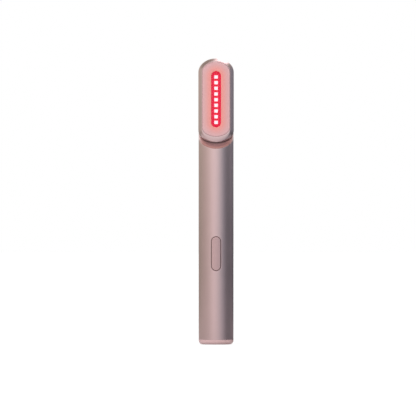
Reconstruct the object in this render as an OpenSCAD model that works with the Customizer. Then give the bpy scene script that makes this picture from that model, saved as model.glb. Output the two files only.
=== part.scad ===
/* [Handle] */
// Width of the handle's oval section
handle_w = 18.6; // [18.2:0.1:20]
// Depth of the handle's oval section, front to back
handle_d = 12.7; // [12.5:0.1:13.5]
// Radius of the narrow sides of the oval sections, handle and head alike
side_r = 4.9; // [4.7:0.1:5.2]
// Wall thickness of the handle tube
tube_wall = 0.9; // [0.8:0.05:1]
// Height of the swivel plane's centre above the inner tray
joint_room = 13.65; // [13.5:0.05:16]

/* [End cap] */
// Height of the cap that shows below the tube
cap_h = 2.4; // [2.3:0.1:4]
// Rounding of the cap's bottom edge
cap_edge_r = 2.2; // [1.2:0.1:2.2]
// Height of the cap's skirt inside the tube
skirt_h = 5.6; // [5:0.1:6]
// Wall of the cap's skirt
skirt_wall = 1.2; // [1:0.1:1.4]
// Thickness of the seal ring round the skirt
seal_t = 0.9; // [0.7:0.1:1]
// Width of each snap hook
hook_w = 3; // [2:0.1:4]
// Height of the snap hooks above the skirt
hook_h = 3.2; // [2.8:0.1:3.6]

/* [Charging port] */
// Width of the charging port's metal shell
port_w = 8.94; // [8.8:0.02:9.1]
// Height of the charging port's metal shell
port_t = 3.26; // [3.1:0.02:3.4]
// Length of the charging port's metal shell
port_l = 7.35; // [6.5:0.05:8]
// Sheet thickness of the port's shell
port_wall = 0.3; // [0.2:0.05:0.4]
// How far the port's mouth lies inside the cap's face
port_recess = 0.6; // [0.3:0.1:1]
// Width of the contact tongue
tongue_w = 6.69; // [6:0.01:7]
// Thickness of the contact tongue
tongue_t = 0.7; // [0.6:0.05:0.9]

/* [Swivel joint] */
// Slant of the swivel plane
joint_angle = 45; // [44:0.5:46]
// Thickness of the collar's rim between tube and swivel plane
collar_rim = 1.2; // [1:0.1:1.6]
// Thickness of the collar's plate that carries the bush
collar_plate = 2.6; // [2.4:0.1:2.8]
// Wall of the collar's skirt
collar_wall = 1.2; // [1:0.1:1.3]
// Running gap between the collar's face and the head
joint_gap = 0.3; // [0.25:0.05:0.4]
// Radius of the hollow swivel shaft
shaft_r = 2; // [1.8:0.05:2.1]
// Radius of the wire passage through the shaft
shaft_bore_r = 1.35; // [1.2:0.05:1.4]
// Wall of the bearing bush
bush_wall = 0.6; // [0.5:0.05:0.65]
// Width of the bush's flange beyond its wall
bush_flange_w = 0.8; // [0.6:0.1:1]
// Thickness of the bush's flange and of the shaft's flange
flange_t = 0.5; // [0.4:0.05:0.6]
// Thickness of the retaining ring
ring_t = 0.4; // [0.3:0.05:0.45]
// Height of the wave washer over its crests
wave_h = 0.4; // [0.35:0.05:0.45]
// Radius of the seal ring in the collar's face
seal_ring_r = 4.6; // [4.4:0.1:4.9]
// Radius at which the stop pin runs
stop_r = 6.6; // [6.3:0.1:6.8]
// Radius of the stop pin
stop_pin_r = 0.45; // [0.4:0.05:0.5]
// Depth of the stop groove
stop_depth = 0.9; // [0.8:0.1:1]
// Turn of the head from stop to stop
swivel_range = 180; // [180:1:200]

/* [Head] */
// How far the head stands out beyond the handle on each side
head_over = 0.15; // [0:0.05:0.7]
// Length of the head's outline
head_l = 45.2; // [44:0.1:50]
// How far the head's outline reaches below the swivel plane's centre
head_drop = 5.15; // [5:0.05:5.3]
// Rise of the head's rounded top end
head_top_rise = 7.5; // [7.2:0.1:8]
// Rise of the head's rounded bottom end
head_low_rise = 7; // [6.8:0.1:7.2]
// How far the head's flat front lies behind the crown of the tube
front_step = 0.45; // [0.25:0.05:0.6]
// Width of the flat front beside the treatment plate
flat_margin = 0.225; // [0.2:0.025:0.3]
// Wall of the head shell
head_wall = 1.2; // [1:0.05:1.3]

/* [Treatment plate] */
// Width of the head's rim beside the treatment plate
rim_side = 2.075; // [2.05:0.025:2.2]
// Width of the rim above the plate
rim_top = 2; // [1.9:0.1:2.4]
// Width of the rim below the plate, on the head's whole outline
rim_low = 3.5; // [3.4:0.1:3.8]
// Rise of the plate's rounded top end
plate_top_rise = 5.6; // [5:0.1:6]
// Rise of the plate's rounded bottom end
plate_low_rise = 4.8; // [4.5:0.1:5.5]
// Depth of the recess that the plate sits in
plate_seat = 1; // [0.9:0.05:1.1]
// How far the plate stands proud of the flat front
plate_proud = 0.15; // [0.1:0.05:0.3]
// Gap round the plate
plate_gap = 0.08; // [0.05:0.01:0.12]
// Thickness of the ledge behind the plate
ledge_t = 0.8; // [0.6:0.05:0.9]
// Width of the ledge behind the plate
ledge_w = 0.9; // [0.8:0.05:1]
// Width of the light window
window_w = 5.2; // [5:0.1:5.6]
// Distance from the window's ends to the plate's ends
window_end = 4.9; // [4.5:0.1:5.5]
// Width of the window's flange behind the plate
window_flange = 1.1; // [0.8:0.1:1.2]

/* [Lights] */
// Number of lights in the row
led_n = 9; // [7:1:9]
// Distance between the lights
led_pitch = 3.02; // [2.8:0.01:3.1]
// Side of one square light
led_size = 2.1; // [1.8:0.05:2.2]
// Height of one light
led_t = 0.8; // [0.6:0.05:1]
// Depth of the light tray behind the window
tray_t = 1.6; // [1.4:0.1:1.8]
// Gap between the light tray and the heads of the screws beside it
tray_gap = 0.325; // [0.2:0.025:0.5]
// Width of the light tray's rims beside its slot
tray_rim = 2.1; // [1.9:0.1:2.3]
// Thickness of the circuit boards
board_t = 0.8; // [0.6:0.05:0.9]
// Thickness of the warming film behind the plate
film_t = 0.2; // [0.15:0.05:0.25]

/* [Vibration motor] */
// Diameter of the motor's can
motor_d = 4; // [3.8:0.1:4.1]
// Length of the motor's can
motor_l = 11; // [10:0.1:12]
// Gap between the motor's sleeve and the head's back wall
motor_gap = 0.7; // [0.5:0.05:0.75]
// Height of the can's foot above the swivel plane's centre
motor_rise = 12; // [11.5:0.1:12.5]
// Wall of the motor's rubber sleeve
sleeve_wall = 0.35; // [0.3:0.05:0.4]
// Radius of the motor's shaft
motor_shaft_r = 0.5; // [0.4:0.05:0.6]
// Radius of the eccentric weight
weight_r = 2.2; // [2:0.05:2.3]
// Length of the eccentric weight
weight_l = 3.4; // [3:0.1:4]

/* [Button] */
// Height of the button's centre
button_h = 48.4; // [44:0.1:49]
// Width of the button
button_w = 4.9; // [4.5:0.1:5.3]
// Length of the button
button_l = 17.9; // [15:0.1:18.5]
// Gap round the button
button_gap = 0.2; // [0.15:0.01:0.25]
// How far the button stands proud of the tube
button_proud = 0.35; // [0.3:0.05:0.5]
// Rounding of the button's front edge
button_edge_r = 0.3; // [0.2:0.05:0.3]
// Width of the button's flange inside the tube
button_flange = 0.8; // [0.6:0.1:1]
// Travel of the button
button_travel = 0.3; // [0.2:0.05:0.3]
// Thickness of the rubber pad behind the button
pad_t = 0.3; // [0.2:0.05:0.3]

/* [Tray, board and cell] */
// Wall of the inner tray
inner_wall = 0.9; // [0.8:0.05:0.95]
// Gap between the inner tray and the tube
slide_gap = 0.15; // [0.1:0.01:0.2]
// Distance of the main board's edges from the handle's sides
board_side = 2.5; // [2.4:0.1:3]
// Height of the main board's upper edge above the button's end
board_over = 0.65; // [0.5:0.05:3]
// Height of the switch body
switch_t = 1; // [0.9:0.05:1.1]
// Width of the switch body, which is square
switch_w = 4.2; // [3.8:0.1:4.6]
// Radius of the switch plunger
plunger_r = 0.8; // [0.7:0.05:1]
// Diameter of the battery cell
cell_d = 8.4; // [8:0.1:8.5]
// Length of the battery cell
cell_l = 36; // [30:0.1:38]
// Thickness of the foam under the cell
foam_t = 1; // [0.8:0.1:1.5]

/* [Hidden] */
$fn = 96;

// Clearances and small parts
seat_gap = 0.03;
running_gap = 0.05;
part_gap = 0.3;
over = 1;
far = 80;
screw_r = 0.6;
screw_head_r = 0.95;
screw_head_t = 0.55;
screw_bite = 1.9;
small = 48;

// Heights along the handle
port_z = port_recess;
cap_top = cap_h + skirt_h;
board_w = handle_w - 2 * board_side;
board_top = button_h + button_l / 2 + board_over;
board_low = cap_h + 1.6;
tray_low = cap_top + part_gap;
foam_z = board_top + part_gap + inner_wall;
cell_z = foam_z + foam_t;
cell_top = cell_z + cell_l;
terminal_t = 0.4;
lead_r = 0.45;
lead_x = (cell_d / 2 + handle_w / 2 - tube_wall - slide_gap - inner_wall) / 2 + 0.3;
cable_r = 0.6;
tray_top = cell_top + terminal_t + 2 * lead_r + part_gap + inner_wall;
collar_low = tray_top + part_gap;
joint_h = tray_top + joint_room;

// Depths in the handle, the front is negative
tube_crown = crown_r(handle_w, handle_d, side_r);
flange_half = button_w / 2 + button_flange;
button_seat_y = -crown_y(flange_half, handle_w - 2 * tube_wall, handle_d - 2 * tube_wall,
    side_r - tube_wall) + button_travel / 2;
button_flange_t = 0.5;
button_back_y = button_seat_y + button_flange_t;
pad_back_y = button_back_y + pad_t;
plunger_show = button_travel + 0.2;
switch_front_y = pad_back_y + plunger_show;
main_board_y = switch_front_y + switch_t;
main_back_y = main_board_y + board_t;
port_y = main_back_y + seat_gap + port_t / 2;
connector_h = 3;
connector_t = 2.2;
connector_z = board_top - 6;
connector_top = connector_z + connector_h / 2 + 0.12;
connector_y = main_back_y + connector_t / 2;

// The bush, the shaft and what holds it, measured along the swivel axis from the collar's face
bush_r = shaft_r + running_gap;
bush_outer_r = bush_r + bush_wall;
bush_flange_r = bush_outer_r + bush_flange_w;
washer_w = -collar_plate;
ring_w = washer_w - wave_h;
shaft_low = ring_w - ring_t - 0.5;
floor_w = joint_gap + head_wall;
ring_outer_r = shaft_r + 0.7;
groove_r = shaft_r - 0.15;
pocket_r = ring_outer_r + part_gap;
shaft_flange_r = shaft_r + 1.3;
shaft_ear_x = shaft_flange_r + screw_head_r + 0.3;

// Heights and outline of the head and its plate
head_w = handle_w + 2 * head_over;
head_front = handle_d / 2 - front_step;
plate_w = head_w - 2 * rim_side;
plate_l = head_l - rim_top - rim_low;
window_l = plate_l - 2 * window_end;
head_flat_w = plate_w + 2 * flat_margin;
head_low = joint_h - head_drop;
head_top = head_low + head_l;
head_straight_low = head_low + head_low_rise;
head_straight_top = head_top - head_top_rise;
head_arc_x = head_w / 2 - side_r;
head_arc_y = -head_front + sqrt(pow(side_r, 2) - pow(head_flat_w / 2 - head_arc_x, 2));
plate_z = head_low + rim_low + plate_l / 2;

// Depths in the head, the front is negative
plate_seat_y = -head_front + plate_seat;
cavity_y = plate_seat_y + ledge_t;
light_board_y = cavity_y + tray_t;
light_back_y = light_board_y + board_t;
carrier_t = 1.2;
carrier_back_y = light_back_y + carrier_t;
inset_board = ledge_w + part_gap + running_gap;
notch_h = 3;
light_board_lift = 5.9;
light_board_low = plate_z - plate_l / 2 + light_board_lift;
boss_r = 1.35;
boss_x = plate_w / 2 - ledge_w - screw_head_r - 0.55;
tray_w = 2 * (boss_x - screw_head_r - tray_gap);
tray_slot_w = tray_w - 2 * tray_rim;
boss_lift = 2.9;
boss_low = light_board_low + boss_lift;
boss_high = head_straight_top - boss_r - 0.2;
led_row = (led_n - 1) * led_pitch;

// Places of the motor
motor_back = handle_d / 2 - head_wall - motor_gap - sleeve_wall - motor_d / 2;
motor_z = joint_h + motor_rise;
motor_top = motor_z + motor_l;
motor_cap_t = 1;
sleeve_r = motor_d / 2 + sleeve_wall;
sleeve_l = motor_l - 2;
weight_z = motor_top + 0.8;
shaft_depth = 8;

// Radius of the wide arcs of an oval of width w and depth d, whose narrow sides have radius r
function crown_r(w, d, r) = (w * w / 4 + d * d / 4 - w * r) / (d - 2 * r);

// Half the depth of that oval at x, measured on its wide arc
function crown_y(x, w, d, r) = sqrt(pow(crown_r(w, d, r), 2) - x * x) - crown_r(w, d, r) + d / 2;

// Oval of four tangent arcs
module oval(w, d, r) {
    big = crown_r(w, d, r);
    join_x = (w / 2 - r) * big / (big - r);
    intersection() {
        translate([0, big - d / 2]) circle(big);
        translate([0, d / 2 - big]) circle(big);
        square([2 * join_x, d + over], center = true);
    }
    for (side = [-1, 1]) translate([side * (w / 2 - r), 0]) circle(r);
}

// The handle's oval, drawn in by an inset
module handle_oval(inset) {
    oval(handle_w - 2 * inset, handle_d - 2 * inset, side_r - inset);
}

// Stadium with its long side along the second axis
module stadium(w, l) {
    square([w, l - w], center = true);
    for (end = [-1, 1]) translate([0, end * (l - w) / 2]) circle(w / 2);
}

// Raises an outline from the plane y_back towards the front, as far as y_front
module from_front(y_front, y_back, z) {
    translate([0, y_back, z]) rotate([90, 0, 0]) linear_extrude(y_back - y_front) children();
}

// Frame of the swivel: third axis along the swivel axis, origin in the collar's face
module at_joint() {
    translate([0, 0, joint_h]) rotate([joint_angle, 0, 0]) children();
}

// Everything between two planes parallel to the collar's face
module joint_slab(low, high) {
    at_joint() translate([-far / 2, -far / 2, low]) cube([far, far, high - low]);
}

// Round bar along the swivel axis
module joint_bar(r, low, high) {
    at_joint() translate([0, 0, low]) cylinder(r = r, h = high - low);
}

// Screw with its head's underside at the origin and its shank down the third axis
module screw(length) {
    difference() {
        union() {
            cylinder(r = screw_head_r, h = screw_head_t, $fn = small);
            translate([0, 0, -length]) cylinder(r = screw_r, h = length, $fn = small);
        }
        translate([0, 0, screw_head_t / 2]) cylinder(r = screw_head_r / 2, h = over, $fn = 6);
    }
}

// Smooth path through hand-set points
function path_at(p, i, t) = let (a = p[max(i - 1, 0)], b = p[i], c = p[i + 1],
    d = p[min(i + 2, len(p) - 1)])
    (2 * b + (c - a) * t + (2 * a - 5 * b + 4 * c - d) * t * t
        + (3 * b - a - 3 * c + d) * t * t * t) / 2;
function smooth_path(p, n) = [for (i = [0:len(p) - 2], k = [0:n - 1]) path_at(p, i, k / n),
    p[len(p) - 1]];
function unit(v) = v / norm(v);
function heading(p, i) = unit(p[min(i + 1, len(p) - 1)] - p[max(i - 1, 0)]);
function carried(p, i, s) = i == len(p) ? [] :
    let (t = heading(p, i), n = unit(s - (s * t) * t)) concat([n], carried(p, i + 1, n));

// Insulated lead of radius r along a smooth path
module lead(points, r) {
    ring = 8;
    p = smooth_path(points, 4);
    n = carried(p, 0, [0.31, 0.95, 0.05]);
    skin = [for (i = [0:len(p) - 1], k = [0:ring - 1]) let (b = cross(heading(p, i), n[i]))
        p[i] + r * (cos(360 * k / ring) * n[i] + sin(360 * k / ring) * b)];
    walls = [for (i = [0:len(p) - 2], k = [0:ring - 1]) let (j = (k + 1) % ring, a = i * ring)
        each [[a + k, a + ring + k, a + j], [a + j, a + ring + k, a + ring + j]]];
    ends = [[for (k = [0:ring - 1]) k], [for (k = [ring - 1:-1:0]) (len(p) - 1) * ring + k]];
    polyhedron(skin, concat(walls, ends));
}

// Anodised oval tube with its slanted top end and the slot for the button
module handle_tube() {
    color("rosybrown") difference() {
        translate([0, 0, cap_h]) linear_extrude(joint_h + handle_d - cap_h) handle_oval(0);
        linear_extrude(joint_h + 2 * handle_d) handle_oval(tube_wall);
        joint_slab(-collar_rim, far);
        from_front(-handle_d, 0, button_h)
            stadium(button_w + 2 * button_gap, button_l + 2 * button_gap);
    }
}

// Moulded collar: slanted rim, skirt in the tube, and the plate that carries the bush
module neck_collar() {
    color("lightpink") difference() {
        union() {
            intersection() {
                translate([0, 0, joint_h - handle_d]) linear_extrude(2 * handle_d) handle_oval(0);
                joint_slab(-collar_rim, 0);
            }
            difference() {
                translate([0, 0, collar_low]) linear_extrude(joint_h + handle_d - collar_low)
                    handle_oval(tube_wall + seat_gap);
                joint_slab(-collar_rim, far);
            }
        }
        difference() {
            linear_extrude(joint_h + handle_d) handle_oval(tube_wall + seat_gap + collar_wall);
            joint_slab(-collar_plate, far);
        }
        joint_bar(bush_outer_r, -collar_plate - over, over);
        joint_bar(bush_flange_r, -flange_t, over);
        joint_bar(pocket_r, shaft_low - part_gap, -collar_plate);
        at_joint() rotate_extrude() translate([seal_ring_r, 0]) square([1, 1], center = true);
        at_joint() stop_groove();
    }
}

// Arc in the collar's face in which the stop pin runs
module stop_groove() {
    r = stop_pin_r + 0.1;
    translate([0, 0, -stop_depth]) {
        rotate_extrude(angle = swivel_range) translate([stop_r - r, 0]) square([2 * r, far]);
        for (end = [0, swivel_range]) rotate(end) translate([stop_r, 0, 0])
            cylinder(r = r, h = far, $fn = small);
    }
}

// Bearing bush with a flange that is let into the collar's face
module swivel_bush() {
    color("ivory") difference() {
        union() {
            joint_bar(bush_outer_r, -collar_plate, -flange_t / 2);
            joint_bar(bush_flange_r, -flange_t, 0);
        }
        joint_bar(bush_r, -collar_plate - over, over);
    }
}

// Rubber ring in the collar's face, which gives the head its smooth drag
module swivel_seal() {
    color("dimgray") at_joint() translate([0, 0, -0.12]) rotate_extrude()
        translate([seal_ring_r, 0]) circle(0.36, $fn = small);
}

// Closing cap with rounded edge, grooved skirt, charging port opening and two snap hooks
module end_cap() {
    color("lightpink") {
        difference() {
            union() {
                hull() for (a = [0:15:90]) translate([0, 0, cap_edge_r * (1 - cos(a))])
                    linear_extrude(cap_h - cap_edge_r * (1 - cos(a)))
                        handle_oval(cap_edge_r * (1 - sin(a)), $fn = 64);
                linear_extrude(cap_top) handle_oval(tube_wall + seat_gap);
            }
            translate([0, 0, cap_h]) linear_extrude(skirt_h + over)
                handle_oval(tube_wall + seat_gap + skirt_wall);
            translate([0, port_y, -over]) linear_extrude(cap_h + 2 * over)
                rotate(90) stadium(port_t + 2 * running_gap, port_w + 2 * running_gap);
            translate([0, 0, seal_z()]) linear_extrude(seal_t) difference() {
                handle_oval(0);
                handle_oval(tube_wall + seat_gap + seal_t / 2);
            }
        }
        for (side = [-1, 1]) snap_hook(side);
    }
}

function seal_z() = cap_h + skirt_h / 2 - seal_t / 2;

// Rib inside the skirt with an arm whose barb snaps outwards into the tray's window
module snap_hook(side) {
    arm = 0.8;
    tray_r = side_r - tube_wall - slide_gap - inner_wall;
    x = handle_w / 2 - side_r + sqrt(pow(tray_r, 2) - pow(hook_w / 2, 2)) - running_gap;
    rib_end = handle_w / 2 - tube_wall - seat_gap - skirt_wall + 0.25;
    scale([side, 1, 1]) {
        translate([x - arm, -hook_w / 2, cap_h - 0.2])
            cube([rib_end - x + arm, hook_w, skirt_h + 0.2]);
        translate([x - arm, -hook_w / 2, cap_top - 0.2]) cube([arm, hook_w, hook_h]);
        translate([x, 0, cap_top + hook_h - 1.2]) rotate([90, 0, 0])
            linear_extrude(hook_w, center = true)
                polygon([[-arm / 2, 1], [0, 1], [inner_wall, 0], [inner_wall, -0.4], [-arm / 2, -0.4]]);
    }
}

// Rubber ring in the skirt's groove, just inside the tube's wall
module end_cap_seal() {
    color("dimgray") translate([0, 0, seal_z() + running_gap])
        linear_extrude(seal_t - 2 * running_gap) difference() {
            handle_oval(tube_wall);
            handle_oval(tube_wall + seat_gap + seal_t / 2);
        }
}

// Sheet metal shell of the charging port, closed at its inner end
module port_shell() {
    color("silver") translate([0, port_y, port_z]) difference() {
        linear_extrude(port_l) rotate(90) stadium(port_t, port_w);
        translate([0, 0, -over]) linear_extrude(port_l + over - port_wall)
            rotate(90) stadium(port_t - 2 * port_wall, port_w - 2 * port_wall);
    }
}

// Contact tongue on its moulded base inside the port's shell
module port_tongue() {
    base_l = 2.2;
    base_z = port_l - port_wall - base_l;
    inset = port_wall + seat_gap;
    color("black") translate([0, port_y, port_z]) {
        translate([0, 0, base_z]) linear_extrude(base_l) rotate(90)
            stadium(port_t - 2 * inset, port_w - 2 * inset);
        translate([-tongue_w / 2, -tongue_t / 2, 0.8]) cube([tongue_w, tongue_t, base_z]);
    }
}

// Main circuit board, which stands behind the button; its narrow foot carries the charging port
module main_board() {
    shoulder_z = tray_low + 1;
    color("darkgreen") difference() {
        from_front(main_board_y, main_back_y, 0) {
            translate([-board_w / 2, shoulder_z]) square([board_w, board_top - shoulder_z]);
            translate([-port_w / 2 - 0.5, board_low])
                square([port_w + 1, shoulder_z + 1 - board_low]);
        }
        for (place = board_screw_places()) translate([place[0], 0, place[1]]) rotate([90, 0, 0])
            cylinder(r = screw_r + running_gap, h = handle_d, center = true, $fn = small);
    }
}

function board_screw_places() = [for (side = [-1, 1], z = [tray_low + 7.6, board_top - 4])
    [side * (board_w / 2 - 1.4), z]];

// Chips, coil and connector on the back of the main board
module board_chips() {
    layout = [[0, 18, 5, 5, 0.9], [-3.2, 26, 3.6, 3.6, 1.1], [2.6, 27, 4, 4, 2], [0, 35, 6, 5, 0.9],
        [3, 43, 2, 1.2, 0.8], [-3, 43, 2, 1.2, 0.8], [0, connector_z, 6, connector_h, connector_t]];
    color("black") for (chip = layout)
        from_front(main_back_y, main_back_y + chip[4], 0)
            translate([chip[0], chip[1]]) square([chip[2], chip[3]], center = true);
}

// Four screws that hold the main board on the tray's posts
module board_screws() {
    color("silver") for (place = board_screw_places())
        translate([place[0], main_board_y, place[1]]) rotate([90, 0, 0]) screw(board_t + screw_bite);
}

// Body of the push switch on the front of the main board
module switch_body() {
    color("dimgray") difference() {
        from_front(switch_front_y, main_board_y, button_h) square(switch_w, center = true);
        from_front(switch_front_y - over, main_board_y - 0.3, button_h)
            circle(plunger_r + running_gap, $fn = small);
    }
}

// Plunger of the push switch, which the button's pad rests on
module switch_plunger() {
    color("black") from_front(pad_back_y, main_board_y - 0.3 - button_travel - running_gap, button_h)
        circle(plunger_r, $fn = small);
}

// Button cap: rounded edge, crown that follows the tube, and a flange inside the wall
module power_button() {
    r = button_edge_r;
    edge_y = -crown_y(button_w / 2 - r, handle_w, handle_d, side_r) - button_proud;
    straight = button_l - button_w;
    color("lightpink") {
        from_front(edge_y + r, button_back_y, button_h) stadium(button_w, button_l);
        intersection() {
            from_front(-handle_d, button_seat_y, button_h)
                stadium(button_w - 2 * r, button_l - 2 * r);
            linear_extrude(button_h + button_l) oval(handle_w + 2 * button_proud,
                handle_d + 2 * button_proud, side_r + button_proud);
        }
        translate([0, edge_y + r, button_h]) {
            for (side = [-1, 1]) translate([side * (button_w / 2 - r), 0, 0])
                cylinder(r = r, h = straight, center = true, $fn = small);
            for (end = [0, 180]) rotate([0, end, 0]) translate([0, 0, straight / 2])
                rotate([-90, 0, 0]) rotate_extrude(angle = -180)
                    translate([button_w / 2 - r, 0]) circle(r, $fn = small);
        }
        from_front(button_seat_y, button_back_y, button_h)
            stadium(button_w + 2 * button_flange, button_l + 2 * button_flange);
    }
}

// Rubber pad on the back of the button, which seals it and presses the switch
module button_pad() {
    color("dimgray") from_front(button_back_y, pad_back_y, button_h)
        stadium(button_w + button_flange, button_l + button_flange);
}

// Moulded tray that slides into the tube: posts for the board, cradle for the cell, end walls
module inner_tray() {
    color("whitesmoke") difference() {
        union() {
            difference() {
                tray_block(tray_low, tray_top, tube_wall + slide_gap);
                translate([0, 0, -over]) tray_block(0, tray_top + 2 * over,
                    tube_wall + slide_gap + inner_wall);
            }
            tray_block(board_top + part_gap, foam_z, tube_wall + slide_gap);
            tray_block(tray_top - inner_wall, tray_top, tube_wall + slide_gap);
            intersection() {
                tray_block(tray_low, board_top, tube_wall + slide_gap);
                for (place = board_screw_places()) translate([place[0], main_back_y, place[1]])
                    rotate([-90, 0, 0]) cylinder(r = 1.5, h = handle_d, $fn = small);
            }
        }
        for (place = board_screw_places()) translate([place[0], main_back_y - over, place[1]])
            rotate([-90, 0, 0]) cylinder(r = screw_r, h = over + screw_bite + 0.3, $fn = small);
        translate([-far / 2, -hook_w / 2 - 0.2, cap_top + hook_h - 1.9])
            cube([far, hook_w + 0.4, 2.1]);
        from_front(0, handle_d, (foam_z + tray_top) / 2) stadium(4, cell_l - 8);
        from_front(0, handle_d, (tray_low + board_top) / 2 + 6) stadium(5, 18);
        for (side = [-1, 1]) translate([side * lead_x, 0, foam_z - 2 * inner_wall])
            linear_extrude(cell_l + 10) stadium(2 * cable_r + 0.8, 3);
    }
}

// Part of the handle's inner oval behind the board's back face
module tray_block(low, high, inset) {
    translate([0, 0, low]) linear_extrude(high - low) intersection() {
        handle_oval(inset);
        translate([-far / 2, main_back_y]) square([far, handle_d]);
    }
}

// Rechargeable round cell with a crimped shoulder at its positive end
module battery_cell() {
    color("steelblue") translate([0, 0, cell_z]) rotate_extrude()
        polygon([[0, 0], [cell_d / 2, 0], [cell_d / 2, cell_l - 2.2], [cell_d / 2 - 0.3, cell_l - 1.9],
            [cell_d / 2 - 0.3, cell_l - 1.5], [cell_d / 2, cell_l - 1.2],
            [cell_d / 2, cell_l], [0, cell_l]]);
}

// Nickel tab welded on the positive end
module cell_terminal() {
    color("silver") translate([0, 0, cell_top]) linear_extrude(terminal_t)
        rotate(90) stadium(3, cell_d - 1.4);
}

// Foam disc that the cell stands on
module cell_foam() {
    color("black") translate([0, 0, foam_z]) cylinder(d = cell_d - 0.4, h = foam_t);
}

// Two leads from the cell's ends down to the connector on the main board
module cell_leads() {
    tab_z = cell_top + terminal_t + lead_r + seat_gap;
    can_x = cell_d / 2 + lead_r + running_gap;
    color("red") lead([[1.4, 0, tab_z], [4.2, 0.2, tab_z], [lead_x - 0.1, 0.6, cell_top - 1],
        [lead_x, 0.6, cell_top - 5], [lead_x, 0.6, foam_z + 12], [lead_x, 0.6, foam_z + 2],
        [lead_x, 0.6, foam_z - 0.6], [4.6, 0.2, board_top - 0.8], [2.4, -0.2, board_top - 2.4],
        [1.8, connector_y, connector_top]], lead_r);
    color("black") lead([[can_x, -0.6, cell_z + 4], [can_x, -0.6, cell_z + 2.4],
        [lead_x, -0.6, cell_z - 0.5], [lead_x, -0.6, foam_z - 0.6], [4.4, -0.9, board_top - 1.1],
        [1.4, -0.9, board_top - 1.9], [0.5, connector_y, connector_top]], lead_r);
}

// Wire bundle from the main board past the cell and up through the hollow shaft
module swivel_cable() {
    axis = [0, -sin(joint_angle), cos(joint_angle)];
    mouth = [0, 0, joint_h];
    color("gold") lead([mouth + (floor_w + flange_t + 0.6) * axis, mouth + 0.5 * axis,
        mouth - 2 * axis, mouth - 4 * axis, [-1.6, 2.6, joint_h - 7.5], [-4.6, 0.6, tray_top + 2.5],
        [-lead_x, 0, tray_top - 2], [-lead_x, 0, cell_top - 14], [-lead_x, 0, foam_z + 4],
        [-lead_x, 0, foam_z - 0.4], [-4.6, -0.3, board_top - 0.9], [-2.6, -0.6, board_top - 2],
        [-1.8, connector_y, connector_top]], cable_r);
}

// Outline of the treatment plate, drawn in by an inset
module plate_outline(inset) {
    half = plate_l / 2;
    w = plate_w - 2 * inset;
    translate([-w / 2, plate_low_rise - half])
        square([w, plate_l - plate_low_rise - plate_top_rise]);
    translate([0, half - plate_top_rise])
        scale([1, 2 * (plate_top_rise - inset) / w]) circle(d = w);
    translate([0, plate_low_rise - half])
        scale([1, 2 * (plate_low_rise - inset) / w]) circle(d = w);
}

// Section across the head: oval back, straight sides, rounded front corners, flat front
module head_section(inset, front_y) {
    r = side_r - inset;
    intersection() {
        union() {
            intersection() {
                oval(head_w - 2 * inset, handle_d - 2 * inset, r);
                translate([-far / 2, 0]) square(far);
            }
            translate([inset - head_w / 2, head_arc_y]) square([head_w - 2 * inset, -head_arc_y]);
            for (side = [-1, 1]) translate([side * head_arc_x, head_arc_y]) circle(r);
            translate([-head_arc_x, head_arc_y - r]) square([2 * head_arc_x, r]);
        }
        translate([-far / 2, front_y]) square(far);
    }
}

// Head's outer form, or its cavity: the section drawn along the head and turned at both ends
module head_form(inset, front_y) {
    half = head_w / 2 - inset;
    translate([0, 0, head_straight_low]) linear_extrude(head_straight_top - head_straight_low)
        head_section(inset, front_y);
    translate([0, 0, head_straight_top]) scale([1, 1, (head_top_rise - inset) / half])
        rotate([-90, 180, 0]) head_turned(inset, front_y);
    translate([0, 0, head_straight_low]) scale([1, 1, (head_low_rise - inset) / half])
        rotate([-90, 0, 0]) head_turned(inset, front_y);
}

// Half turn of half the head's section
module head_turned(inset, front_y) {
    rotate_extrude(angle = 180) intersection() {
        head_section(inset, front_y);
        translate([0, -far / 2]) square(far);
    }
}

// Metal head shell: recess and ledge for the plate, slanted floor with the swivel's holes, bosses
module head_shell() {
    color("rosybrown") difference() {
        union() {
            difference() {
                intersection() {
                    head_form(0, -head_front);
                    joint_slab(joint_gap, far);
                }
                intersection() {
                    head_form(head_wall, cavity_y);
                    joint_slab(floor_w, far);
                }
            }
            intersection() {
                translate([0, 0, head_straight_low])
                    linear_extrude(head_straight_top - head_straight_low)
                        head_section(head_wall / 2, cavity_y);
                for (side = [-1, 1], z = [boss_low, boss_high])
                    translate([side * boss_x, carrier_back_y, z]) rotate([-90, 0, 0])
                        cylinder(r = boss_r, h = handle_d, $fn = small);
            }
        }
        from_front(-head_front - over, plate_seat_y, plate_z) plate_outline(0);
        from_front(-head_front - over, cavity_y + running_gap, plate_z) plate_outline(ledge_w);
        for (side = [-1, 1], z = [boss_low, boss_high])
            translate([side * boss_x, carrier_back_y - over, z]) rotate([-90, 0, 0])
                cylinder(r = screw_r, h = over + screw_bite + 0.3, $fn = small);
        joint_bar(shaft_r + seat_gap, 0, floor_w + over);
        at_joint() {
            for (side = [-1, 1]) translate([side * shaft_ear_x, 0, joint_gap + 0.2])
                cylinder(r = screw_r, h = far, $fn = small);
            translate([stop_r, 0, 0]) cylinder(r = stop_pin_r, h = floor_w + over, $fn = small);
        }
    }
}

// Hollow swivel shaft with its flange, two ears and the groove for the retaining ring
module swivel_shaft() {
    color("silver") at_joint() difference() {
        union() {
            translate([0, 0, shaft_low]) cylinder(r = shaft_r, h = floor_w + flange_t - shaft_low);
            translate([0, 0, floor_w]) {
                cylinder(r = shaft_flange_r, h = flange_t);
                linear_extrude(flange_t) rotate(90)
                    stadium(2 * screw_head_r + 0.5, 2 * (shaft_ear_x + screw_head_r + 0.25));
            }
        }
        translate([0, 0, shaft_low - over]) cylinder(r = shaft_bore_r, h = far);
        translate([0, 0, ring_w - ring_t - 0.02]) difference() {
            cylinder(r = shaft_r + over, h = ring_t + 0.04);
            cylinder(r = groove_r, h = ring_t + 0.04);
        }
        for (side = [-1, 1]) translate([side * shaft_ear_x, 0, floor_w - over])
            cylinder(r = screw_r + running_gap, h = far, $fn = small);
    }
}

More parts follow.
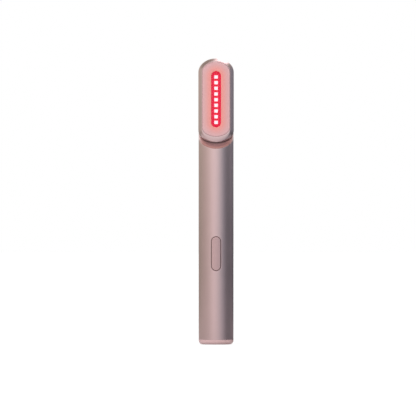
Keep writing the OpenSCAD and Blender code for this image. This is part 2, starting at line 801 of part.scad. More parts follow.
// Two screws that hold the shaft's ears on the head's floor
module shaft_screws() {
    color("silver") at_joint() for (side = [-1, 1])
        translate([side * shaft_ear_x, 0, floor_w + flange_t]) screw(head_wall + flange_t - 0.25);
}

// Open ring that snaps into the shaft's groove
module retaining_ring() {
    color("dimgray") at_joint() translate([0, 0, ring_w - ring_t]) rotate(-60)
        rotate_extrude(angle = 300) translate([groove_r + running_gap, 0])
            square([ring_outer_r - groove_r - running_gap, ring_t]);
}

// Thin washer bent into three waves, which presses the head onto the seal ring
module wave_washer() {
    steps = 36;
    sheet = 0.12;
    lift = (wave_h - sheet - 2 * seat_gap) / 2;
    inner = shaft_r + 0.08;
    corners = [[inner, 0], [ring_outer_r, 0], [ring_outer_r, sheet], [inner, sheet]];
    skin = [for (i = [0:steps - 1], c = corners) let (a = 360 * i / steps)
        [c[0] * cos(a), c[0] * sin(a), c[1] + lift * (1 + cos(3 * a))]];
    walls = [for (i = [0:steps - 1], k = [0:3])
        let (j = (k + 1) % 4, a = 4 * i, b = 4 * ((i + 1) % steps))
        each [[a + k, a + j, b + k], [a + j, b + j, b + k]]];
    color("silver") at_joint() translate([0, 0, ring_w + seat_gap]) polyhedron(skin, walls);
}

// Dowel in the head's floor that runs in the collar's groove
module stop_pin() {
    color("silver") at_joint() translate([stop_r, 0, 0.15 - stop_depth])
        cylinder(r = stop_pin_r - 0.01, h = floor_w + stop_depth - 0.15, $fn = small);
}

// Smooth metal plate that touches the skin, with the slot for the light window
module treatment_plate() {
    color("pink") difference() {
        from_front(-head_front - plate_proud, plate_seat_y, plate_z) plate_outline(plate_gap);
        from_front(-head_front - over, plate_seat_y + over, plate_z) stadium(window_w, window_l);
    }
}

// Tinted light window, flush in the plate's slot, with a flange behind the plate
module light_window() {
    color("red") {
        from_front(-head_front - plate_proud, plate_seat_y + running_gap, plate_z)
            stadium(window_w - 2 * seat_gap, window_l - 2 * seat_gap);
        from_front(plate_seat_y, cavity_y, plate_z)
            stadium(window_w + 2 * window_flange, window_l + 2 * window_flange);
    }
}

// Thin warming film stuck to the plate's back, round the window's flange
module warming_film() {
    color("orange") from_front(plate_seat_y, plate_seat_y + film_t, plate_z) difference() {
        plate_outline(ledge_w + part_gap);
        stadium(window_w + 2 * window_flange + 0.4, window_l + 2 * window_flange + 0.4);
    }
}

// White tray that stands round the row of lights and spreads their glow
module light_tray() {
    color("white") from_front(cavity_y, light_board_y, plate_z) difference() {
        stadium(tray_w, window_l + 2 * window_flange);
        stadium(tray_slot_w, led_row + led_size + 1.4);
    }
}

// Outline shared by the light board and the motor carrier, cut straight at its lower end
module light_board_outline() {
    intersection() {
        plate_outline(inset_board);
        translate([-far / 2, light_board_low - plate_z]) square(far);
    }
}

// Small board that carries the row of lights
module light_board() {
    color("white") difference() {
        from_front(light_board_y, light_back_y, plate_z) light_board_outline();
        head_screw_holes(screw_r + running_gap);
    }
}

// Holes for the screws that hold the board and the carrier on the head's bosses
module head_screw_holes(r) {
    for (side = [-1, 1], z = [boss_low, boss_high]) translate([side * boss_x, 0, z])
        rotate([90, 0, 0]) cylinder(r = r, h = handle_d, center = true, $fn = small);
}

// Row of square lights
module lights() {
    color("white") for (i = [0:led_n - 1])
        from_front(light_board_y - led_t, light_board_y, plate_z - led_row / 2 + i * led_pitch)
            square(led_size, center = true);
}

// Four screws through the light board and the carrier
module head_screws() {
    color("silver") for (side = [-1, 1], z = [boss_low, boss_high])
        translate([side * boss_x, light_board_y, z]) rotate([90, 0, 0])
            screw(board_t + carrier_t + screw_bite);
}

// Moulded carrier: plate behind the light board and two cheeks that clip the motor
module motor_carrier() {
    cheek_t = 0.8;
    color("whitesmoke") difference() {
        union() {
            from_front(light_back_y, carrier_back_y, plate_z) light_board_outline();
            for (side = [-1, 1])
                translate([side * (sleeve_r + running_gap + cheek_t / 2), motor_back / 2 + 0.6,
                    motor_z + motor_l / 2])
                    cube([cheek_t, motor_back + 1.2 - 2 * carrier_back_y, sleeve_l - 1], center = true);
        }
        translate([0, motor_back, motor_z - 2 * over])
            cylinder(r = sleeve_r + running_gap, h = motor_l + 4 * over);
        from_front(light_back_y - over, carrier_back_y + over, light_board_low)
            stadium(4, 4 + notch_h);
        translate([0, motor_back, motor_top]) cylinder(r = weight_r + part_gap, h = weight_l + 2);
        head_screw_holes(screw_r + running_gap);
    }
}

// Drawn can of the vibration motor, with the bore that its shaft runs in
module motor_can() {
    color("silver") translate([0, motor_back, motor_z]) difference() {
        union() {
            cylinder(d = motor_d, h = motor_l);
            cylinder(d = motor_d / 2, h = motor_l + 0.4);
        }
        translate([0, 0, motor_l - shaft_depth]) cylinder(r = motor_shaft_r + running_gap, h = far,
            $fn = small);
    }
}

// Moulded cap that closes the can and carries the brushes
module motor_cap() {
    color("black") translate([0, motor_back, motor_z - motor_cap_t])
        cylinder(d = motor_d - 0.3, h = motor_cap_t);
}

// Rubber sleeve between the can and the carrier's cheeks
module motor_sleeve() {
    color("dimgray") translate([0, motor_back, motor_z + (motor_l - sleeve_l) / 2]) difference() {
        cylinder(r = sleeve_r, h = sleeve_l);
        translate([0, 0, -over]) cylinder(d = motor_d, h = sleeve_l + 2 * over);
    }
}

// Fine leads in the head: motor to light board, and light board to the bundle in the shaft
module head_leads() {
    axis = [0, -sin(joint_angle), cos(joint_angle)];
    bundle_end = [0, 0, joint_h] + (floor_w + flange_t + 0.75) * axis;
    motor_foot = motor_z - motor_cap_t - 0.03;
    back_y = light_back_y + 0.1;
    for (side = [-1, 1]) {
        color("red") lead([[side * 0.9, motor_back, motor_foot],
            [side * 1, motor_back - 0.1, motor_foot - 2], [side * 1.2, 1, light_board_low + 2.4],
            [side * 1.2, -0.7, light_board_low + 2.2], [side * 1.2, back_y, light_board_low + 2.2]],
            0.25);
        color("blue") lead([bundle_end + [side * 0.3, 0, 0], bundle_end + [side * 0.3, 0, 0] + 0.4 * axis,
            [side * 0.4, -1, light_board_low + 0.4], [side * 0.4, back_y, light_board_low + 1]],
            0.25);
    }
}

// Motor shaft, from inside the can up through the weight
module motor_shaft() {
    color("silver") translate([0, motor_back, motor_top - shaft_depth + part_gap])
        cylinder(r = motor_shaft_r, h = shaft_depth - part_gap + weight_z - motor_top + weight_l + 0.4,
            $fn = small);
}

// Half-round weight pressed on the shaft
module eccentric_weight() {
    color("goldenrod") translate([0, motor_back, weight_z]) difference() {
        linear_extrude(weight_l) {
            circle(motor_shaft_r + 0.5, $fn = small);
            intersection() {
                circle(weight_r);
                translate([-weight_r, 0]) square([2 * weight_r, weight_r]);
            }
        }
        translate([0, 0, -over]) cylinder(r = motor_shaft_r, h = weight_l + 2 * over, $fn = small);
    }
}

handle_tube();
neck_collar();
end_cap();
end_cap_seal();
port_shell();
port_tongue();
main_board();
board_chips();
board_screws();
switch_body();
inner_tray();
battery_cell();
cell_terminal();
cell_foam();
cell_leads();
swivel_bush();
swivel_seal();
swivel_cable();
power_button();
button_pad();
switch_plunger();
head_shell();
treatment_plate();
light_window();
warming_film();
light_tray();
light_board();
lights();
head_screws();
motor_carrier();
motor_can();
motor_cap();
motor_sleeve();
head_leads();
swivel_shaft();
shaft_screws();
retaining_ring();
wave_washer();
stop_pin();
motor_shaft();
eccentric_weight();
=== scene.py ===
import math

import bmesh
import bpy
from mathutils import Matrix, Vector


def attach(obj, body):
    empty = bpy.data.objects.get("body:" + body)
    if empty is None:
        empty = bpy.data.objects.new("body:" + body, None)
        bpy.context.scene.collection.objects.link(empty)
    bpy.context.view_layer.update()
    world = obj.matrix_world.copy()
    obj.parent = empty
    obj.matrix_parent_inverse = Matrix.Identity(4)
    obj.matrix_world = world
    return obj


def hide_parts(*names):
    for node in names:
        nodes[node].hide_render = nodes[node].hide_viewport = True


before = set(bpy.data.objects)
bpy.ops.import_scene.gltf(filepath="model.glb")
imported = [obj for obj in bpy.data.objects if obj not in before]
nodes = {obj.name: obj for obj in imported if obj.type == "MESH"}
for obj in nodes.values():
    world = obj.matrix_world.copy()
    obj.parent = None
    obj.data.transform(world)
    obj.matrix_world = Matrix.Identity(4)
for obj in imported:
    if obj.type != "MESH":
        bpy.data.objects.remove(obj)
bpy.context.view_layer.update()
studio = bpy.context.scene

# Camera: a long lens three metres in front of the wand, level with its middle and a little to
# its left, so that the wand stands right of the centre of a 416 by 416 picture.
view_width = 221.7
camera_distance = 3000.0
aim_x = -4.3
aim_z = 72.7
camera = bpy.data.objects.new("camera", bpy.data.cameras.new("camera"))
studio.collection.objects.link(camera)
camera.location = (aim_x / 1000, -camera_distance / 1000, aim_z / 1000)
camera.rotation_euler = (math.radians(90), 0, 0)
camera.data.sensor_width = 36
camera.data.lens = camera.data.sensor_width * camera_distance / view_width
camera.data.clip_start = 0.05
studio.camera = camera


# Handle tube: drawn oval aluminium tube, cut at a slant for the swivel and milled for the button.
# It is bead blasted and anodised rose; its cut edges are broken by a fine polished chamfer.
class Wire:
    """An output in a node tree; sums written with it become Math nodes."""

    def __init__(self, finish, socket):
        self.finish = finish
        self.socket = socket

    def also(self, name):
        """Another output of the same node."""
        return Wire(self.finish, self.socket.node.outputs[name])

    def sum(self, operation, *values):
        return self.finish.node("ShaderNodeMath", {"operation": operation}, dict(enumerate(values)))

    def take(self, operation, *others):
        """What an operation makes of this value, with others where it needs them."""
        return self.sum(operation, self, *others)

    def __add__(self, other):
        return self.sum("ADD", self, other)

    def __sub__(self, other):
        return self.sum("SUBTRACT", self, other)

    def __rsub__(self, other):
        return self.sum("SUBTRACT", other, self)

    def __mul__(self, other):
        return self.sum("MULTIPLY", self, other)

    def __truediv__(self, other):
        return self.sum("DIVIDE", self, other)

    def __pow__(self, other):
        return self.sum("POWER", self, other)

    __radd__ = __add__
    __rmul__ = __mul__


class Finish:
    """A finish under construction: a material or world, its node tree and its surface shader."""

    def __init__(self, name, constants=None, kind="materials", shader="Principled BSDF"):
        self.material = getattr(bpy.data, kind).new(name)
        self.material.use_nodes = True
        self.tree = self.material.node_tree
        self.surface = self.tree.nodes[shader]
        for socket, value in (constants or {}).items():
            self.surface.inputs[socket].default_value = value

    def node(self, kind, settings=None, sockets=None, output=0):
        made = self.tree.nodes.new(kind)
        for setting, value in (settings or {}).items():
            if setting == "stops":
                self.set_stops(made.color_ramp.elements, value)
            else:
                setattr(made, setting, value)
        for socket, value in (sockets or {}).items():
            self.join(value, made.inputs[socket])
        return Wire(self, made.outputs[output])

    def set_stops(self, elements, stops):
        while len(elements) < len(stops):
            elements.new(1.0)
        for element, (place, colour) in zip(elements, stops):
            element.position = place
            element.color = (*colour, 1.0)

    def join(self, value, socket):
        if isinstance(value, Wire):
            self.tree.links.new(value.socket, socket)
        else:
            socket.default_value = value

    def feed(self, socket, value):
        self.join(value, self.surface.inputs[socket])

    def place(self):
        return self.node("ShaderNodeTexCoord", output="Object")

    def places(self):
        """The place on the piece as three values, across, back and up, in millimetres."""
        parts = self.node("ShaderNodeSeparateXYZ", sockets={0: self.place()})
        return [parts.also(axis) * 1000 for axis in "XYZ"]

    def grain(self, size, detail=2.0, stretch=(1.0, 1.0, 1.0)):
        """Even noise whose spots are size millimetres across, longer where stretch is below 1."""
        scaled = self.node("ShaderNodeVectorMath", {"operation": "MULTIPLY"},
            {0: self.place(), 1: [1000 / size * s for s in stretch]})
        return self.node("ShaderNodeTexNoise", sockets={"Vector": scaled, "Scale": 1.0, "Detail": detail})

    def ramp(self, value, low, high):
        """0 below low, 1 above high, smooth between."""
        return self.node("ShaderNodeMapRange", {"interpolation_type": "SMOOTHSTEP"},
            {"Value": value, "From Min": low, "From Max": high})

    def mix(self, share, first, second):
        """Colour that goes from first to second as share goes from 0 to 1."""
        colours = [c if isinstance(c, Wire) else (*c, 1.0) for c in (first, second)]
        return self.node("ShaderNodeMix", {"data_type": "RGBA"},
            {0: share, 6: colours[0], 7: colours[1]}, output=2)

    def relief(self, height, depth):
        """Surface relief of so many millimetres."""
        self.feed("Normal", self.node("ShaderNodeBump",
            sockets={"Height": height, "Distance": depth / 1000, "Strength": 1.0}))


class Skin:
    """Skin of a piece, laid ring by ring in millimetres."""

    def __init__(self):
        self.points = []
        self.faces = []

    def ring(self, points):
        start = len(self.points)
        self.points.extend(points)
        return list(range(start, len(self.points)))

    def bands(self, rings):
        for low, high in zip(rings, rings[1:]):
            for i, after in enumerate(low[1:] + low[:1]):
                self.faces.append((low[i], after, high[(i + 1) % len(low)], high[i]))

    def cap(self, ring):
        self.faces.append(tuple(ring))

    def solid(self):
        """The skin as an editable mesh in metres, with double points merged."""
        edit = bmesh.new()
        made = [edit.verts.new([c / 1000 for c in p]) for p in self.points]
        for face in self.faces:
            if len(set(face)) > 2:
                edit.faces.new([made[i] for i in face])
        merge(edit)
        return edit


def merge(edit):
    """Merges double points and drops what no face uses."""
    bmesh.ops.remove_doubles(edit, verts=edit.verts, dist=2e-7)
    loose = [v for v in edit.verts if not v.link_faces]
    bmesh.ops.delete(edit, geom=loose, context="VERTS")
    bmesh.ops.recalc_face_normals(edit, faces=edit.faces)


def smooth_object(name, edit, material):
    """Turns an editable mesh into a smooth object of one material."""
    mesh = bpy.data.meshes.new(name)
    edit.to_mesh(mesh)
    edit.free()
    mesh.shade_smooth()
    mesh.materials.append(material)
    made = bpy.data.objects.new(name, mesh)
    studio.collection.objects.link(made)
    return made


def shade_evenly(made):
    even = made.modifiers.new("even_shading", "WEIGHTED_NORMAL")
    even.keep_sharp = True
    even.weight = 90


def piece(name, edit, body, material, replaced):
    """Turns an editable mesh into a piece that stands in for CAD nodes."""
    made = smooth_object(name, edit, material)
    shade_evenly(made)
    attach(made, body)
    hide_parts(*replaced)


handle_w = 18.6
handle_d = 12.7
side_r = 4.9


def crown_r(wide):
    """Radius of the front and back arcs of an oval so wide and as deep as the handle."""
    return (wide ** 2 / 4 + handle_d ** 2 / 4 - wide * side_r) / (handle_d - 2 * side_r)


def oval(turn, inset=0.0, wide=handle_w):
    """Point of an oval of four tangent arcs whose outward direction is turn degrees from the front."""
    big = crown_r(wide)
    a = math.radians(turn)
    across, front = math.sin(a), -math.cos(a)
    if abs(front) * (big - side_r) > big - handle_d / 2:
        centre = (0.0, math.copysign(big - handle_d / 2, -front))
        reach = big - inset
    else:
        centre = (math.copysign(wide / 2 - side_r, across), 0.0)
        reach = side_r - inset
    return (centre[0] + reach * across, centre[1] + reach * front)


def crown(x, inset=0.0):
    """Depth of the handle's front face at x."""
    big = crown_r(handle_w)
    return big - handle_d / 2 - math.sqrt((big - inset) ** 2 - x * x)


joint_z = 112.35
slant = math.sqrt(2)
turns = [3 * i for i in range(120)]


def level_ring(z, inset):
    return [(*oval(t, inset), z) for t in turns]


def slanted_ring(rise, inset):
    """Ring of the handle's oval in a plane at a distance of rise from the swivel plane."""
    points = [oval(t, inset) for t in turns]
    return [(x, y, joint_z + y + slant * rise) for x, y in points]


tube_low = 2.4
tube_wall = 0.9
rim_rise = -1.2
slot_z = 48.4
slot_r = 2.65
slot_straight = 6.5
slot_edge = 0.14
field_half = 12
field_step = 1.5
field_rows = [slot_z - field_half + field_step * i for i in range(17)]
field_turns = 7


def to_slot(x, z, r):
    """Point of the slot's outline, of end radius r, that faces the point x, z."""
    along = max(-slot_straight, min(slot_straight, z - slot_z))
    reach = math.hypot(x, z - slot_z - along)
    return x / reach * r, slot_z + along + (z - slot_z - along) / reach * r


def tube_face(skin, inset, low_rings, high_rings):
    """One face of the tube's wall with the field round the slot; gives the slot's outermost ring."""
    rows = [skin.ring([(*oval(t, inset), z) for t in turns]) for z in field_rows]
    skin.bands(low_rings + [rows[0]])
    skin.bands([rows[-1]] + high_rings)
    for low, high in zip(rows, rows[1:]):
        for i in range(field_turns, len(turns) - field_turns):
            j = (i + 1) % len(turns)
            skin.faces.append((low[i], low[j], high[j], high[i]))
    across = [(i % len(turns)) for i in range(-field_turns, field_turns + 1)]
    edge = [rows[0][i] for i in across[:-1]]
    edge += [row[field_turns] for row in rows[:-1]]
    edge += [rows[-1][i] for i in reversed(across[1:])]
    edge += [row[-field_turns] for row in reversed(rows[1:])]
    rings = [edge]
    for share in (0.35, 0.6, 0.8, 0.93, 1.0):
        points = []
        for i in edge:
            x, _, z = skin.points[i]
            edge_x, edge_z = to_slot(x, z, slot_r + (slot_edge if inset == 0 else 0))
            x, z = x + share * (edge_x - x), z + share * (edge_z - z)
            points.append((x, crown(x, inset), z))
        rings.append(skin.ring(points))
    skin.bands(rings)
    return rings[-1]


tube = Skin()
outer_low = [tube.ring(level_ring(z, i)) for z, i in ((tube_low, 0.06), (tube_low + 0.018, 0.018),
    (tube_low + 0.06, 0))] + [tube.ring(level_ring(z, 0)) for z in (3.2, 9, 15, 21, 27, 32)]
inner_low = [tube.ring(level_ring(z, tube_wall)) for z in (tube_low, 10, 20, 30)]
field_top = field_rows[-1]
top_points = slanted_ring(rim_rise - 0.3, 0)
outer_high = [tube.ring([(x, y, field_top + share * (z - field_top)) for x, y, z in top_points])
    for share in (0.12, 0.3, 0.5, 0.7, 0.9, 0.98, 1.0)]
outer_high += [tube.ring(slanted_ring(rim_rise - c, i)) for c, i in ((0.18, 0.025), (0.09, 0.08),
    (0.025, 0.18), (0.0, 0.3))]
inner_top = tube.ring(slanted_ring(rim_rise, tube_wall))
slot_outer = tube_face(tube, 0.0, outer_low, outer_high)
slot_inner = tube_face(tube, tube_wall, inner_low, [inner_top])
tube.bands([outer_low[0], inner_low[0]])
tube.bands([outer_high[-1], inner_top])
slot_rings = [slot_outer]
for gap, sink in ((0.041, 0.041), (0.0, slot_edge)):
    points = []
    for i in slot_outer:
        x, _, z = tube.points[i]
        x, z = to_slot(x, z, slot_r + gap)
        points.append((x, crown(x) + sink, z))
    slot_rings.append(tube.ring(points))
tube.bands(slot_rings + [slot_inner])


def anodised(name, tone, roughness):
    """Bead-blasted and anodised aluminium: fine grain, faint clouds in the dye, polished broken edges
    with a painted highlight.
    """
    made = Finish(name, {"Metallic": 1.0})
    clouds = made.grain(9.0, 3.0)
    blast = made.grain(0.16, 2.0)
    streaks = made.grain(0.5, 2.0, (1.0, 1.0, 0.04))
    pale = [min(1.0, c * 1.05) for c in tone]
    deep = [c * 0.95 for c in tone]
    dye = made.mix(0.6 * clouds + 0.25 * blast + 0.15 * streaks, deep, pale)
    # Painted highlight: convex edges are painted paler; the lower roughness there is the real polish.
    bright = made.ramp(made.node("ShaderNodeNewGeometry", output="Pointiness"), 0.52, 0.62)
    made.feed("Base Color", made.mix(bright * 0.35, dye, [min(1.0, c * 1.25) for c in tone]))
    made.feed("Roughness", roughness + 0.06 * blast + 0.05 * clouds - 0.1 * bright)
    made.relief(blast, 0.0035)
    return made.material


rose = (0.700, 0.500, 0.510)
rose_anodised = anodised("rose_anodised", rose, 0.27)
piece("handle_tube_skin", tube.solid(), "handle", rose_anodised, ["handle_tube"])


# Inside the handle: a moulded tray slides into the tube with the main board screwed to it and the
# round cell in its cradle; leads and the wire bundle run along its grooves. None of it shows.
def dress(names, material, edge=0.05):
    """Gives CAD nodes, which keep their shape, a finish and edges rounded by so many millimetres."""
    for name in names:
        node = nodes[name]
        node.data.materials.clear()
        node.data.materials.append(material)
        weld = node.modifiers.new("weld", "WELD")
        weld.merge_threshold = 1e-6
        if edge:
            bevel = node.modifiers.new("rounded_edges", "BEVEL")
            bevel.width = edge / 1000
            bevel.segments = 2
            bevel.limit_method = "ANGLE"
            bevel.angle_limit = math.radians(33)
            bevel.use_clamp_overlap = True
        shade_evenly(node)


def mottled(name, pale, deep, size, roughness, relief, metallic=0.0, stretch=(1.0, 1.0, 1.0)):
    """A finish whose tone and gloss vary a little in spots of a given size in millimetres."""
    made = Finish(name, {"Metallic": metallic})
    spots = made.grain(size, 3.0, stretch)
    made.feed("Base Color", made.mix(spots, deep, pale))
    made.feed("Roughness", roughness - 0.08 + 0.16 * spots)
    made.relief(spots, relief)
    return made.material


def solder_mask(name, mask, track):
    """Circuit board: mask over tracks that show as slightly raised, paler lines."""
    made = Finish(name)
    place = made.node("ShaderNodeVectorMath", {"operation": "SCALE"}, {0: made.place(), 3: 1000.0})
    cells = made.node("ShaderNodeTexVoronoi", {"feature": "DISTANCE_TO_EDGE"},
        {"Vector": place, "Scale": 0.7})
    lines = 1 - made.ramp(cells, 0.05, 0.09)
    made.feed("Base Color", made.mix(lines * 0.7, mask, track))
    made.feed("Roughness", 0.3 + 0.15 * lines)
    made.relief(lines, 0.02)
    return made.material


white_plastic = mottled("white_plastic", (0.88, 0.87, 0.84), (0.80, 0.79, 0.76), 0.6, 0.5, 0.006)
black_plastic = mottled("black_plastic", (0.07, 0.07, 0.07), (0.035, 0.035, 0.037), 0.4, 0.5, 0.008)
grey_rubber = mottled("grey_rubber", (0.22, 0.21, 0.21), (0.15, 0.15, 0.155), 0.5, 0.8, 0.012)
bright_steel = mottled("bright_steel", (0.80, 0.80, 0.81), (0.66, 0.66, 0.68), 0.3, 0.25, 0.002,
    1.0, (1.0, 1.0, 0.15))
spring_steel = mottled("spring_steel", (0.42, 0.43, 0.47), (0.30, 0.31, 0.36), 0.5, 0.35, 0.003, 1.0)
weight_metal = mottled("weight_metal", (0.74, 0.60, 0.37), (0.60, 0.47, 0.28), 0.25, 0.45, 0.008, 1.0)
cell_wrap = mottled("cell_wrap", (0.20, 0.35, 0.60), (0.16, 0.30, 0.54), 3.0, 0.3, 0.01,
    stretch=(1.0, 1.0, 0.3))
black_foam = mottled("black_foam", (0.11, 0.11, 0.11), (0.03, 0.03, 0.03), 0.22, 0.9, 0.06)
red_insulation = mottled("red_insulation", (0.72, 0.09, 0.08), (0.60, 0.06, 0.06), 1.2, 0.45, 0.004)
yellow_insulation = mottled("yellow_insulation", (0.86, 0.71, 0.21), (0.76, 0.60, 0.16), 1.2, 0.45,
    0.004)
green_board = solder_mask("green_board", (0.04, 0.26, 0.11), (0.10, 0.42, 0.20))

dress(["inner_tray"], white_plastic, 0.1)
dress(["main_board"], green_board)
dress(["board_chips", "switch_body"], black_plastic)
dress(["board_screws"], bright_steel)
dress(["battery_cell"], cell_wrap, 0.1)
dress(["cell_terminal"], bright_steel)
dress(["cell_foam"], black_foam)
dress(["cell_leads"], red_insulation, 0.0)
dress(["swivel_cable"], yellow_insulation, 0.0)


# End cap: moulded in pink plastic with a rounded edge, it snaps into the tube with a rubber ring
# round its skirt. The charging port opens in the middle of its foot: a steel shell with a tongue.
def silky(name, tone, warm, lacquer=0.0):
    """Pink plastic with a silky moulded surface; lacquer is the share of metal lacquer on it."""
    made = Finish(name, {"Metallic": lacquer})
    flow = made.grain(5.0, 2.0)
    texture = made.grain(0.14, 2.0)
    made.feed("Base Color", made.mix(0.75 * flow + 0.25 * texture, tone, warm))
    made.feed("Roughness", 0.36 + 0.1 * texture)
    made.relief(texture, 0.003)
    return made.material


def to_port(x, y, wide, deep, centre_y):
    """Point of the port's stadium outline in the direction of x, y from its centre."""
    half = (wide - deep) / 2
    r = deep / 2
    y -= centre_y
    if abs(y) > 1e-9 and abs(x / y) * r <= half:
        return (x / abs(y) * r, centre_y + math.copysign(r, y))
    length = math.hypot(x, y)
    dx, dy = x / length, y / length
    b = abs(dx) * half
    reach = b + math.sqrt(b * b - half * half + r * r)
    return (dx * reach, centre_y + dy * reach)


cap_edge_r = 2.2
skirt_inset = tube_wall + 0.03
skirt_top = 8.0
skirt_wall = 1.2
port_y = -0.067
port_w = 9.04
port_d = 3.36
cap = Skin()
foot = level_ring(0, cap_edge_r)


def port_ring(z, gap):
    return cap.ring([(*to_port(x, y, port_w + 2 * gap, port_d + 2 * gap, port_y), z)
        for x, y, _ in foot])


outside = [cap.ring(level_ring(cap_edge_r * (1 - math.cos(a)), cap_edge_r * (1 - math.sin(a))))
    for a in [math.radians(7.5 * i) for i in range(13)]]
outside += [cap.ring(level_ring(z, i)) for z, i in ((tube_low - 0.08, 0),
    (tube_low - 0.02, 0.04), (tube_low, 0.12), (tube_low, skirt_inset),
    (skirt_top - 0.2, skirt_inset), (skirt_top, skirt_inset + 0.2),
    (skirt_top, skirt_inset + skirt_wall), (tube_low, skirt_inset + skirt_wall))]
mouth = [port_ring(tube_low, 0), port_ring(0.15, 0), port_ring(0.05, 0.05), port_ring(0, 0.15)]
cap.bands([outside[0]] + list(reversed(mouth)))
cap.bands(outside + [mouth[0]])
pink_plastic = silky("pink_plastic", (0.63, 0.425, 0.43), (0.68, 0.46, 0.46))
piece("end_cap_skin", cap.solid(), "handle", pink_plastic, ["end_cap"])
dress(["end_cap_seal"], grey_rubber)
dress(["port_shell"], bright_steel)
dress(["port_tongue"], black_plastic)


# Power button: a moulded stadium with a crown that follows the tube. Its flange is held behind
# the tube's wall by a rubber pad, which seals the slot and rests on the plunger of the switch.
def stadium(wide, long, ends=16, sides=12):
    """Outline of a stadium, across and along, round its middle."""
    r = wide / 2
    half = long / 2 - r
    points = []
    for sign in (1, -1):
        points += [(sign * r, sign * half * (2 * i / sides - 1)) for i in range(sides)]
        points += [(sign * r * math.cos(math.pi * i / ends),
            sign * (half + r * math.sin(math.pi * i / ends))) for i in range(ends)]
    return points


button_w = 4.9
button_l = 17.9
button_proud = 0.35
button_edge = 0.3
button = Skin()


def button_ring(inset, sink):
    """Ring of the button's outline, sunk below its crowned face."""
    return button.ring([(x, crown(x) - button_proud + sink, slot_z + z)
        for x, z in stadium(button_w - 2 * inset, button_l - 2 * inset)])


def button_flat(grow, y):
    return button.ring([(x, y, slot_z + z) for x, z in
        stadium(button_w + 2 * grow, button_l + 2 * grow)])


flange = 0.8
flange_front = -4.83
flange_back = -4.33
rings = [button_flat(flange, flange_back), button_flat(flange, flange_front),
    button_flat(0, flange_front)]
rings += [button_ring(button_edge * (1 - math.cos(a)), button_edge * (1 - math.sin(a)))
    for a in [math.radians(15 * i) for i in range(7)]]
rings += [button_ring(i, 0) for i in (0.5, 0.8, 1.2, 1.6, 2.0, 2.3, button_w / 2)]
button.bands(rings)
button.cap(rings[0])
button_pink = silky("button_pink", (0.57, 0.38, 0.39), (0.62, 0.415, 0.42), 0.8)
piece("power_button_skin", button.solid(), "button", button_pink, ["power_button"])
dress(["button_pad"], grey_rubber)
dress(["switch_plunger"], black_plastic)


# Swivel: the pink moulded collar closes the tube's slanted end and carries a bearing bush. The
# head's hollow shaft turns in it, held by a retaining ring and pressed by a wave washer.
collar = Finish("collar_rose", {"Sheen Weight": 0.5, "Sheen Roughness": 0.3})
texture = collar.grain(0.14, 2.0)
across, depth, height = collar.places()
rise = (height - depth - joint_z) / slant
aside = across.take("ABSOLUTE")
crown_arc = (crown_r(handle_w) ** 2 - across * across).take("SQRT")
behind_crown = depth + crown_arc - (crown_r(handle_w) - handle_d / 2)
# Painted shadow: the collar's face is painted dark where it lies under the head's edge.
painted_shadow_under_head = collar.ramp(behind_crown, -0.3, 1.4) * collar.ramp(rise, -0.2, -0.05) * (
    1 - collar.ramp(aside, 6.8, 8.8))
# Painted shade: the top of the collar's wall is painted darker next to the gap under the head, less so
# towards the sides.
shade = collar.ramp(rise, -0.65, -0.32) * (1 - collar.ramp(aside, 4.0, 8.0))
wall = collar.mix(0.75 * collar.grain(5.0, 2.0) + 0.25 * texture, (0.41, 0.19, 0.172),
    (0.46, 0.215, 0.195))
wall = collar.mix(shade, wall, (0.29, 0.13, 0.13))
# Painted light: the collar's sides are painted paler and its outermost edges nearly white.
wall = collar.mix(collar.ramp(aside, 6.4, 9.2), wall, (0.58, 0.36, 0.35))
wall = collar.mix(collar.ramp(aside, 8.35, 8.75), wall, (0.82, 0.60, 0.58))
collar.feed("Base Color", collar.mix(painted_shadow_under_head, wall, (0.14, 0.08, 0.08)))
collar.feed("Roughness", 0.36 + 0.1 * texture)
collar.relief(texture, 0.003)
dress(["neck_collar"], collar.material, 0.15)
dress(["swivel_bush"], white_plastic)
dress(["swivel_seal"], grey_rubber)
dress(["swivel_shaft", "shaft_screws", "stop_pin"], bright_steel)
dress(["retaining_ring", "wave_washer"], spring_steel, 0.02)


# Head shell: forged and machined aluminium, anodised like the tube. Its section is the tube's oval
# with a flat front; it is turned round at both ends, cut by the swivel plane, and hollow.
head_w = 18.9
head_front = -5.9
head_arc_x = 4.55
head_arc_y = -2.065
head_wall = 1.2
head_low = 106.85
head_top = 152.4
head_low_rise = 7.35
head_top_rise = 7.5
floor_rise = 0.3
plate_low = 110.7
plate_top = 150.4
plate_half = 7.375
plate_low_rise = 4.8
plate_top_rise = 5.6
plate_seat = -4.9
ledge_back = -4.1
ledge_w = 0.9
shaft_hole = 2.03
hole_sides = 48


def racetrack(half, low_z, low_rise, top_z, top_rise, ends=22, sides=10):
    """Outline with straight sides from low_z to top_z and rounded ends, seen from the front."""
    points = []
    for sign, z, other, rise in ((1, top_z, low_z, top_rise), (-1, low_z, top_z, low_rise)):
        points += [(sign * half, other + (z - other) * i / sides) for i in range(sides)]
        points += [(sign * half * math.cos(math.pi * i / (2 * ends)),
            z + sign * rise * math.sin(math.pi * i / (2 * ends))) for i in range(2 * ends)]
    return points


def head_ring(half, y, inset=0.0):
    """Ring of the head at a depth y where its section is half as wide, inside a wall of inset."""
    share = half / (head_w / 2 - inset)
    return [(x, y, z) for x, z in racetrack(half, head_low + head_low_rise,
        share * (head_low_rise - inset), head_top - head_top_rise, share * (head_top_rise - inset))]


def plate_ring(y, inset):
    return [(x, y, z) for x, z in racetrack(plate_half - inset, plate_low + plate_low_rise,
        plate_low_rise - inset, plate_top - plate_top_rise, plate_top_rise - inset)]


def side_and_back(inset, first):
    """Section of the head from its front corner, at first degrees, past the side to the back."""
    r = side_r - inset
    rows = [(head_arc_x + r * math.cos(a), head_arc_y - r * math.sin(a))
        for a in [math.radians(first * (1 - i / 16)) for i in range(17)]]
    rows.append((head_arc_x + r, head_arc_y / 2))
    backs = [oval(t, inset, head_w) for t in [90 + 3 * i for i in range(31)]]
    return rows + [(max(x, 0.0), y) for x, y in backs]


